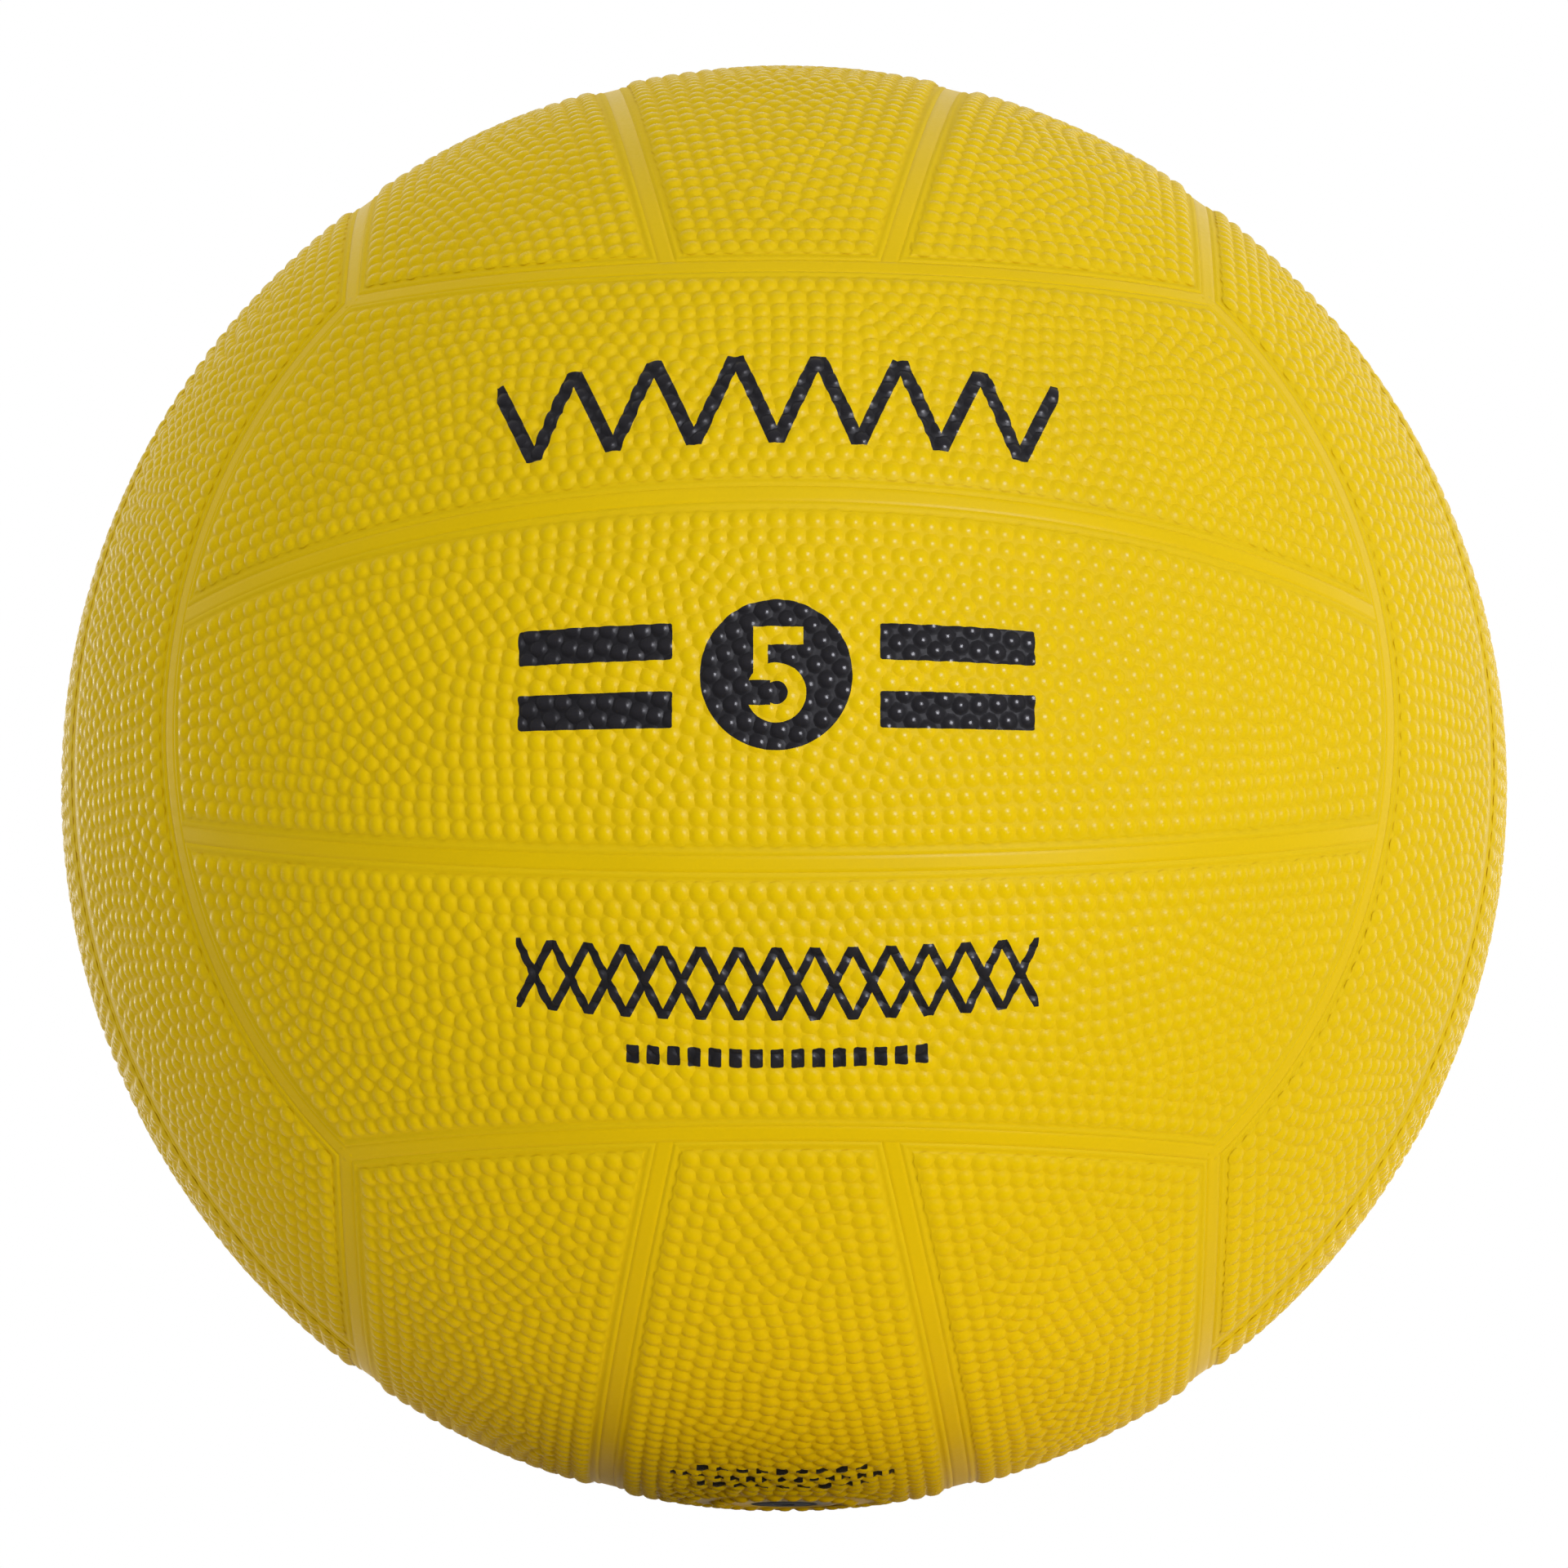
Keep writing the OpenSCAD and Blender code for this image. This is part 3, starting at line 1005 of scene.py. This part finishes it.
def cover_material():
    """Satin yellow rubber with plain print, smoother on the pebbles' tops, with painted shade
    towards their feet and a painted highlight on the print's tops.
    """
    cover = settings().cover
    material, tree, place = new_material("pebbled_rubber")
    rise = span(tree, length_of(tree, place), foot_radius(), cover.ball_radius)
    cloud, speckle, normal = moulded_surface(
        tree, place, cloud_size=30 * MM, speckle_size=0.6 * MM, grain_depth=0.012 * MM,
        wave_size=2.2 * MM, waves=0.6)
    base = blend(tree, cloud, shade(cover.rubber, 0.97), shade(cover.rubber, 1.02))
    # Painted shade: the rubber is darker towards the pebbles' feet and on the plain border below
    # them
    base = blend(tree, span(tree, rise, 0.0, 0.6, 0.3, 0.0), base, shade(cover.rubber, 0.86))
    base = blend(tree, span(tree, speckle, 0.0, 1.0, 0.06, 0.0), base, shade(cover.rubber, 0.7))
    base = blend(tree, speck_mask(tree, place), base, shade(cover.rubber, 0.05))
    ink = print_mask(tree, place)
    # Painted highlight: the print is lighter towards the pebbles' tops
    ink_with_painted_highlight = blend(tree, span(tree, rise, 0.3, 1.0), cover.ink, shade(cover.ink, 1.8))
    base = blend(tree, ink, base, ink_with_painted_highlight)
    rough = maths(tree, "ADD", span(tree, rise, 0.0, 1.0, FOOT_ROUGHNESS, TOP_ROUGHNESS),
                  span(tree, speckle, 0.0, 1.0, 0.05, -0.03))
    rough = minus(tree, rough, times(tree, ink, 0.06))
    finish_material(tree, {
        "Base Color": base, "Roughness": rough, "Normal": normal, "IOR": GLOSS_IOR,
        "Specular Tint": blend(tree, ink, RUBBER_TINT, INK_TINT)})
    return material


def speck_mask(tree, place):
    """A few dark specks far apart from each other."""
    cell = add_node(tree, "ShaderNodeTexVoronoi", {"Vector": place, "Scale": 1 / (22 * MM)})
    chance = add_node(tree, "ShaderNodeSeparateColor", {0: cell.outputs["Color"]}).outputs[0]
    width = span(tree, chance, 0.6, 1.0, 0.0, 0.014)
    return maths(tree, "LESS_THAN", cell.outputs["Distance"], width)


def strip_material():
    """Smooth yellow rubber of the strips."""
    base = settings().strips.rubber
    material, tree, place = new_material("smooth_rubber")
    cloud, speckle, normal = moulded_surface(
        tree, place, cloud_size=25 * MM, speckle_size=0.5 * MM, grain_depth=0.01 * MM,
        wave_size=3 * MM, waves=0.5)
    tone = blend(tree, cloud, shade(base, 0.96), shade(base, 1.01))
    tone = blend(tree, span(tree, speckle, 0.0, 1.0, 0.08, 0.0), tone, shade(base, 0.75))
    rough = span(tree, speckle, 0.0, 1.0, 0.44, 0.38)
    finish_material(tree, {
        "Base Color": tone, "Roughness": rough, "Normal": normal, "IOR": GLOSS_IOR,
        "Specular Tint": (*RUBBER_TINT, 1)})
    return material


# Each rubber inside: the share of dust on it, its grain's size and depth, and its roughness
RUBBERS = {
    "housing_rubber": (0.06, 0.5 * MM, 0.02 * MM, 0.42),
    "soft_core_rubber": (0.1, 0.4 * MM, 0.015 * MM, 0.5),
    "skin_rubber": (0.25, 1.2 * MM, 0.08 * MM, 0.65),
    "bladder_rubber": (0.4, 2 * MM, 0.03 * MM, 0.4),
    "dusty_patch_rubber": (0.3, 0.8 * MM, 0.05 * MM, 0.7),
}
# Size of the patches of dust, and how much the grain changes the roughness
DUST_SIZE = 22 * MM
GRAIN_GLOSS = 0.06


def plain_rubber(name, base):
    """Rubber with dust in patches, grain and uneven gloss."""
    dust_share, grain_size, grain_depth, roughness = RUBBERS[name]
    material, tree, place = new_material(name)
    patches = span(tree, noise(tree, place, DUST_SIZE, 5.0, 0.6), 0.45, 0.75)
    fine = noise(tree, place, grain_size, 4.0, 0.6)
    tone = blend(tree, span(tree, fine, 0.35, 0.65), shade(base, 0.8), shade(base, 1.15))
    tone = blend(tree, times(tree, patches, dust_share), tone, settings().layers.talc)
    grained = span(tree, fine, 0.3, 0.7, roughness - GRAIN_GLOSS, roughness + GRAIN_GLOSS)
    rough = maths(tree, "ADD", grained, times(tree, patches, 0.2))
    finish_material(tree, {
        "Base Color": tone, "Roughness": rough, "Normal": bump(tree, fine, grain_depth)})
    return material


# How each layer of the winding is turned, in radians
THREAD_TURNS = ((0.3, 0.2, 0.0), (1.2, 0.5, 0.9), (0.4, 1.3, 1.9), (2.1, 0.8, 0.4))
# Width of a band of Blender's wave texture at scale 1
WAVE_BAND = 0.31


def thread_material():
    """Nylon thread wound over itself in many directions, with painted shade between its turns."""
    layers = settings().layers
    material, tree, place = new_material("wound_thread")
    heights = []
    for number, turn in enumerate(THREAD_TURNS):
        seen = add_node(tree, "ShaderNodeMapping", {"Vector": place, "Rotation": turn})
        wave = add_node(tree, "ShaderNodeTexWave",
                        {"Vector": seen.outputs[0], "Scale": WAVE_BAND / layers.thread_pitch,
                         "Distortion": 1.5, "Detail": 1.0, "Detail Scale": 0.02})
        region = noise(tree, seen.outputs[0], 45 * MM, 1.0)
        heights.append((maths(tree, "ADD", region, 0.02 * number), wave.outputs["Fac"]))
    top, height = heights[0]
    for level, wave in heights[1:]:
        over = maths(tree, "GREATER_THAN", level, top)
        height = live_output(tree, "ShaderNodeMix",
                             {"Factor": over, "A": height, "B": wave}, "FLOAT")
        top = maths(tree, "MAXIMUM", top, level)
    # Painted shade: the thread is darker down in the grooves between its turns
    tone = blend(tree, height, shade(layers.thread, 0.45), layers.thread)
    soil = span(tree, noise(tree, place, 15 * MM, 3.0), 0.4, 0.8, 0.0, 0.35)
    tone = blend(tree, soil, tone, shade(layers.thread, 0.6))
    finish_material(tree, {
        "Base Color": tone, "Roughness": span(tree, height, 0.0, 1.0, 0.75, 0.5),
        "Normal": bump(tree, height, 0.2 * MM)})
    return material


FLOOR_RADIUS = 1.8
FLOOR_SIDES = 96
# Where the floor begins and ends to melt away
FLOOR_FADE = (0.6, 1.6)


def floor_material():
    """A pale floor that is clear from beneath and melts into the background."""
    stage = settings().stage
    material, tree, place = new_material("pale_floor")
    fade = add_node(tree, "ShaderNodeMapRange",
                    {"Value": length_of(tree, place), "From Min": FLOOR_FADE[0],
                     "From Max": FLOOR_FADE[1]},
                    interpolation_type="SMOOTHSTEP")
    path = add_node(tree, "ShaderNodeLightPath").outputs
    below = add_node(tree, "ShaderNodeNewGeometry").outputs["Backfacing"]
    clear = union(tree, [below, path["Is Shadow Ray"], fade.outputs["Result"]])
    paint = add_node(tree, "ShaderNodeBsdfDiffuse", {"Color": (*stage.floor, 1)})
    glass = add_node(tree, "ShaderNodeBsdfTransparent")
    mixed = add_node(tree, "ShaderNodeMixShader",
                     {0: clear, 1: paint.outputs[0], 2: glass.outputs[0]})
    add_node(tree, "ShaderNodeOutputMaterial", {"Surface": mixed.outputs[0]})
    return material


# Stage


def light_world():
    """White where the camera or a gloss sees it, and an even light from all sides."""
    world = bpy.data.worlds.new("studio")
    world.use_nodes = True
    tree = world.node_tree
    tree.nodes.clear()
    path = add_node(tree, "ShaderNodeLightPath").outputs
    seen = union(tree, [path["Is Camera Ray"], path["Is Glossy Ray"], path["Is Transmission Ray"]])
    strength = span(tree, seen, 0.0, 1.0, settings().stage.ambient, 1.0)
    back = add_node(tree, "ShaderNodeBackground", {"Color": (1, 1, 1, 1), "Strength": strength})
    add_node(tree, "ShaderNodeOutputWorld", {"Surface": back.outputs[0]})
    bpy.context.scene.world = world


def aim(item, azimuth, elevation, distance):
    """Stands an item round the ball, looking at its centre."""
    back = Vector((math.sin(azimuth) * math.cos(elevation),
                   -math.cos(azimuth) * math.cos(elevation), math.sin(elevation)))
    item.location = distance * back
    item.rotation_mode = "QUATERNION"
    item.rotation_quaternion = (-back).to_track_quat("-Z", "Y")


# Each lamp: its azimuth and elevation in degrees, the side of its square in metres, and
# whether it lights the colours and shows in the gloss
LAMPS = (
    ("key", 42, -15, 0.36, True, True),
    ("glint", 27, 8, 0.5, False, True),
    ("crown", 0, 50, 1.2, True, False),
    ("rim", 120, 15, 1.0, True, True),
    ("kicker", -130, 5, 0.4, True, True),
    ("back", 180, -4, 1.0, True, True),
)
LAMP_DISTANCE = 1.6


def add_lamp(name, azimuth, elevation, size, lights, glosses):
    """A square soft lamp."""
    data = bpy.data.lights.new(name, "AREA")
    data.size = size
    data.energy = getattr(settings().stage, name)
    lamp = put(name, data)
    aim(lamp, math.radians(azimuth), math.radians(elevation), LAMP_DISTANCE)
    lamp.visible_camera = False
    lamp.visible_diffuse = lights
    lamp.visible_glossy = glosses


def add_floor():
    """A wide disc under the pebbles of the valve side."""
    lowest = CAD_BOX[0][2]
    turns = np.linspace(0, 2 * math.pi, FLOOR_SIDES + 1)[:-1]
    rim = np.c_[FLOOR_RADIUS * np.cos(turns), FLOOR_RADIUS * np.sin(turns), 0 * turns + lowest]
    mesh = bpy.data.meshes.new("floor")
    mesh.from_pydata(rim.tolist(), [], [list(range(len(rim)))])
    mesh.materials.append(floor_material())
    put("floor", mesh)


# Width of the camera's sensor in millimetres, and where its view begins in metres
SENSOR_WIDTH = 36
VIEW_START = 0.05


def add_camera():
    stage = settings().stage
    data = bpy.data.cameras.new("camera")
    data.sensor_width = SENSOR_WIDTH
    data.lens = stage.lens
    data.shift_y = stage.rise
    data.clip_start = VIEW_START
    camera = put("camera", data)
    aim(camera, stage.azimuth, stage.elevation, stage.distance)
    bpy.context.scene.camera = camera


class NETBALL_OT_stage(bpy.types.Operator):
    """Sets up the camera, the lamps and the floor"""
    bl_idname = "netball.stage"
    bl_label = "Stage"

    def execute(self, context):
        context.scene.view_settings.view_transform = "Standard"
        light_world()
        for lamp in LAMPS:
            add_lamp(*lamp)
        add_floor()
        add_camera()
        return {"FINISHED"}


# Cells along a strip of each kind
STRIP_CELLS = {"edge_strip": 60, "seam_strip": 80}


def strip_mesh(name, planes, ends, cells):
    """A strip of the front: lines across from plane to plane, with an end on both sides."""
    strips = settings().strips
    top = inner_radius() + strips.thickness
    radii = np.array([inner_radius(), top - strips.rounding, top])
    points = lattice(planes, [ends, ends], cells)
    across = np.array([0, 1, 2] + [2] * (len(planes) - 6) + [2, 1, 0])
    last = len(radii) - 1
    lengthwise = np.array([0, last] + [last] * (cells - 1) + [last, 0])
    level = radii[np.minimum.outer(across, lengthwise)]
    outer, inner, _, faces = shell(points, level)
    return mesh_from(name, np.vstack([outer, inner]), faces)


def strip_insets():
    """Distances of a strip's lines from the middle of its seam."""
    strips = settings().strips
    side = panel_side()
    flat = side - strips.rounding
    return [-side, -side, -flat, -flat / 2, 0, flat / 2, flat, side, side]


class NETBALL_OT_panels(bpy.types.Operator):
    """Builds the eighteen panels with their ridges and pebbles"""
    bl_idname = "netball.panels"
    bl_label = "Panels"

    def execute(self, context):
        material = cover_material()
        middles = [(f"panel_{face}_middle", face, 0) for face in FACES]
        kinds = (
            (False, False, both_rows("panel", ROWS)),
            (True, False, [names for names in middles if names[1] != VALVE_FACE]),
            (True, True, [names for names in middles if names[1] == VALVE_FACE]),
        )
        for middle, valve, names in kinds:
            mesh = pebbled_mesh("pebbled_panel", middle, valve, material)
            add_copies(mesh, "pebbled_", material, names)
        return {"FINISHED"}


class NETBALL_OT_strips(bpy.types.Operator):
    """Builds the strips in the seams between two faces and inside each face"""
    bl_idname = "netball.strips"
    bl_label = "Strips"

    def execute(self, context):
        material = strip_material()
        insets = strip_insets()
        mitre = mitre_plane(settings().strips.gap / 2)
        kinds = (
            ("edge_strip", BEYOND, [edge_plane(-inset) for inset in insets], mitre),
            ("seam_strip", ROWS, [seam_plane(inset) for inset in insets],
             end_plane(panel_side())),
        )
        for kind, words, planes, end in kinds:
            mesh = strip_mesh(kind, planes, end, STRIP_CELLS[kind])
            add_copies(mesh, "smooth_", material, both_rows(kind, words))
        return {"FINISHED"}


class NETBALL_OT_valve(bpy.types.Operator):
    """Dresses the housing in the cover and the core that the inflating needle goes through"""
    bl_idname = "netball.valve"
    bl_label = "Valve"

    def execute(self, context):
        valve = settings().valve
        dress("valve_housing", plain_rubber("housing_rubber", valve.housing))
        dress("valve_core", plain_rubber("soft_core_rubber", valve.core))
        return {"FINISHED"}


class NETBALL_OT_layers(bpy.types.Operator):
    """Dresses the carcass, the winding, the bladder and its two patches"""
    bl_idname = "netball.layers"
    bl_label = "Layers"

    def execute(self, context):
        layers = settings().layers
        dress("carcass", plain_rubber("skin_rubber", layers.carcass))
        dress("winding", thread_material())
        dress("bladder", plain_rubber("bladder_rubber", layers.bladder))
        patch = plain_rubber("dusty_patch_rubber", layers.patch)
        dress("valve_patch", patch)
        dress("balance_patch", patch)
        return {"FINISHED"}


OPERATORS = (
    NETBALL_OT_stage,
    NETBALL_OT_panels,
    NETBALL_OT_strips,
    NETBALL_OT_valve,
    NETBALL_OT_layers,
)


class NETBALL_PT_sidebar(bpy.types.Panel):
    """Lists the sizes and colours, and a button for each group of pieces"""
    bl_idname = "NETBALL_PT_sidebar"
    bl_label = "Netball"
    bl_space_type = "VIEW_3D"
    bl_region_type = "UI"
    bl_category = "Netball"

    def draw(self, context):
        for part in ("cover", "strips", "valve", "layers", "stage"):
            box = self.layout.box()
            box.label(text=part.capitalize())
            values = getattr(context.scene.netball, part)
            for name in values.__annotations__:
                box.prop(values, name)
        for operator in OPERATORS:
            self.layout.operator(operator.bl_idname)


CLASSES = (
    CoverSettings,
    StripSettings,
    ValveSettings,
    LayerSettings,
    StageSettings,
    NetballSettings,
    *OPERATORS,
    NETBALL_PT_sidebar,
)


def register():
    for item in CLASSES:
        bpy.utils.register_class(item)
    bpy.types.Scene.netball = bpy.props.PointerProperty(
        name="Netball", description="Sizes and colours of the ball", type=NetballSettings)


def unregister():
    del bpy.types.Scene.netball
    for item in reversed(CLASSES):
        bpy.utils.unregister_class(item)


def main():
    """Builds the whole ball and its stage."""
    register()
    bpy.ops.netball.stage()
    bpy.ops.netball.panels()
    bpy.ops.netball.strips()
    bpy.ops.netball.valve()
    bpy.ops.netball.layers()


if __name__ == "__main__":
    main()
